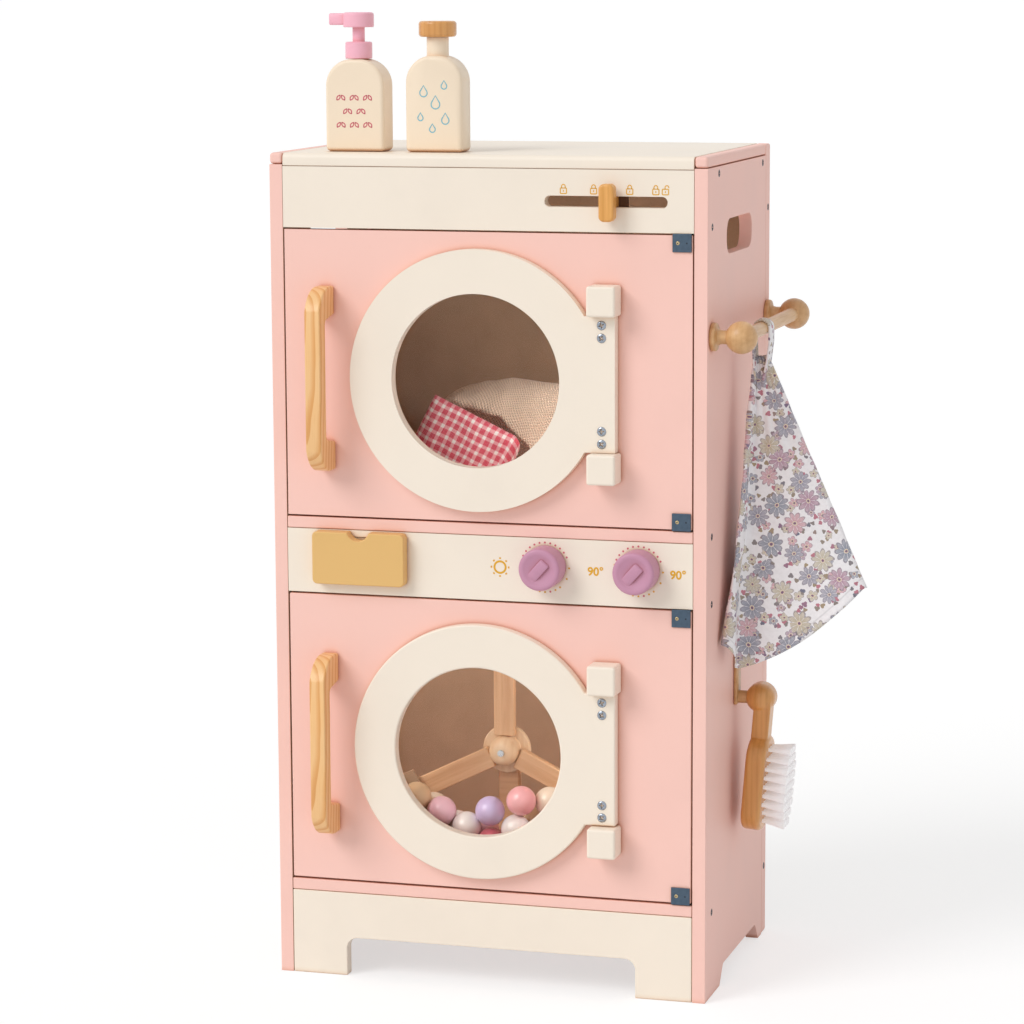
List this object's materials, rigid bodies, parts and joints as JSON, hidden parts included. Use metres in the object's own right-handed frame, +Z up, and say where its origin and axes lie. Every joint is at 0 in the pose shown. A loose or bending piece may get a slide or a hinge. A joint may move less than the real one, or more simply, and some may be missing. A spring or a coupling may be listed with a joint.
{
  "type": "toy washing machine",
  "caption": "Wooden play washer and dryer tower with two round-window doors, drawer, knobs, slide lever, paddle wheel, towel rail, brush, bottles and cloths.",
  "frame": {"origin": "on the floor, under the middle of the whole set's bounding box", "axes": "+X to the right as the child sees it, +Y from the doors towards the back, +Z up"},
  "size_m": [0.5212, 0.294, 0.8732],
  "materials": {
    "pink_paint": "satin water-based paint on fibreboard",
    "cream_paint": "satin water-based paint on fibreboard",
    "mustard_paint": "satin paint on wood",
    "mauve_paint": "glossy paint on turned wood",
    "rose_paint": "glossy paint on turned wood",
    "ball_paint": "glossy paint on wooden balls, several colours",
    "pine": "clear satin lacquer on pine",
    "beech": "clear satin lacquer on beech",
    "hardboard": "raw brown hardboard",
    "steel": "blue-grey coated sheet steel",
    "zinc": "bright zinc plate",
    "clear_pane": "clear acrylic sheet",
    "nylon": "white nylon bristle",
    "printed_cotton": "printed plain-weave cotton",
    "gingham_cotton": "red and white gingham",
    "waffle_cotton": "sand-coloured waffle weave"
  },
  "bodies": {
    "cabinet": {"left_side": "pink_paint", "right_side": "pink_paint", "left_cap": "pink_paint", "right_cap": "pink_paint", "left_stile": "pink_paint", "right_stile": "pink_paint", "plinth": "cream_paint", "floor_deck": "pink_paint", "upper_deck": "pink_paint", "control_deck": "hardboard", "back_panel": "hardboard", "top_board": "cream_paint", "fascia": "cream_paint", "control_panel": "cream_paint", "paddle_post": "pine", "paddle_axle": "zinc", "ball_tray": "hardboard", "tray_saddle": "hardboard", "play_balls": "ball_paint", "rail_post_front": "beech", "rail_post_rear": "beech", "towel_rail": "beech", "peg_board": "beech", "gingham_cloth": "gingham_cotton", "waffle_cloth": "waffle_cotton"},
    "upper_door": {"upper_door_panel": "pink_paint", "upper_window_ring": "cream_paint", "upper_pane": "clear_pane", "upper_handle": "pine", "upper_top_block": "cream_paint", "upper_bottom_block": "cream_paint", "upper_top_plate": "steel", "upper_bottom_plate": "steel"},
    "lower_door": {"lower_door_panel": "pink_paint", "lower_window_ring": "cream_paint", "lower_pane": "clear_pane", "lower_handle": "pine", "lower_top_block": "cream_paint", "lower_bottom_block": "cream_paint", "lower_top_plate": "steel", "lower_bottom_plate": "steel"},
    "lever": {"slide_lever": "mustard_paint", "lever_keeper": "beech"},
    "left_dial": {"left_knob": "mauve_paint", "left_shaft": "zinc"},
    "right_dial": {"right_knob": "mauve_paint", "right_shaft": "zinc"},
    "soap_drawer": {"drawer_front": "mustard_paint", "drawer_bin": "hardboard"},
    "paddle": {"paddle_hub": "pine", "paddle_arm_1": "pine", "paddle_arm_2": "pine", "paddle_arm_3": "pine"},
    "pump_bottle": {"pump_bottle_body": "cream_paint", "pump": "rose_paint"},
    "cap_bottle": {"cap_bottle_body": "cream_paint", "bottle_cap": "beech"},
    "brush": {"brush_body": "beech", "brush_bristles": "nylon"},
    "hanging_towel": {"towel": "printed_cotton"}
  },
  "joints": [
    {"name": "upper_door_hinge", "type": "hinge", "parent": "cabinet", "child": "upper_door", "pos_m": [0.1172, -0.103, 0.426], "axis": [0, 0, 1], "range_deg": [0, 110]},
    {"name": "lower_door_hinge", "type": "hinge", "parent": "cabinet", "child": "lower_door", "pos_m": [0.1172, -0.103, 0.0904], "axis": [0, 0, 1], "range_deg": [0, 110]},
    {"name": "lever_slide", "type": "slide", "parent": "cabinet", "child": "lever", "axis": [1, 0, 0], "range_m": [-0.051, 0.042]},
    {"name": "left_dial_turn", "type": "hinge", "parent": "cabinet", "child": "left_dial", "pos_m": [-0.0063, -0.107, 0.3888], "axis": [0, 1, 0], "continuous": true},
    {"name": "right_dial_turn", "type": "hinge", "parent": "cabinet", "child": "right_dial", "pos_m": [0.0789, -0.107, 0.3888], "axis": [0, 1, 0], "continuous": true},
    {"name": "drawer_slide", "type": "slide", "parent": "cabinet", "child": "soap_drawer", "axis": [0, -1, 0], "range_m": [0, 0.075]},
    {"name": "paddle_spin", "type": "hinge", "parent": "cabinet", "child": "paddle", "pos_m": [-0.0681, -0.041, 0.2015], "axis": [0, 1, 0], "continuous": true},
    {"name": "pump_bottle_lift", "type": "slide", "parent": "cabinet", "child": "pump_bottle", "axis": [0, 0, 1], "range_m": [0, 0.12]},
    {"name": "cap_bottle_lift", "type": "slide", "parent": "cabinet", "child": "cap_bottle", "axis": [0, 0, 1], "range_m": [0, 0.12]},
    {"name": "brush_swing", "type": "hinge", "parent": "cabinet", "child": "brush", "pos_m": [0.1647, 0.0105, 0.2555], "axis": [1, 0, 0], "range_deg": [-60, 60]},
    {"name": "towel_slide", "type": "slide", "parent": "cabinet", "child": "hanging_towel", "axis": [0, 1, 0], "range_m": [-0.06, 0.1]}
  ]
}
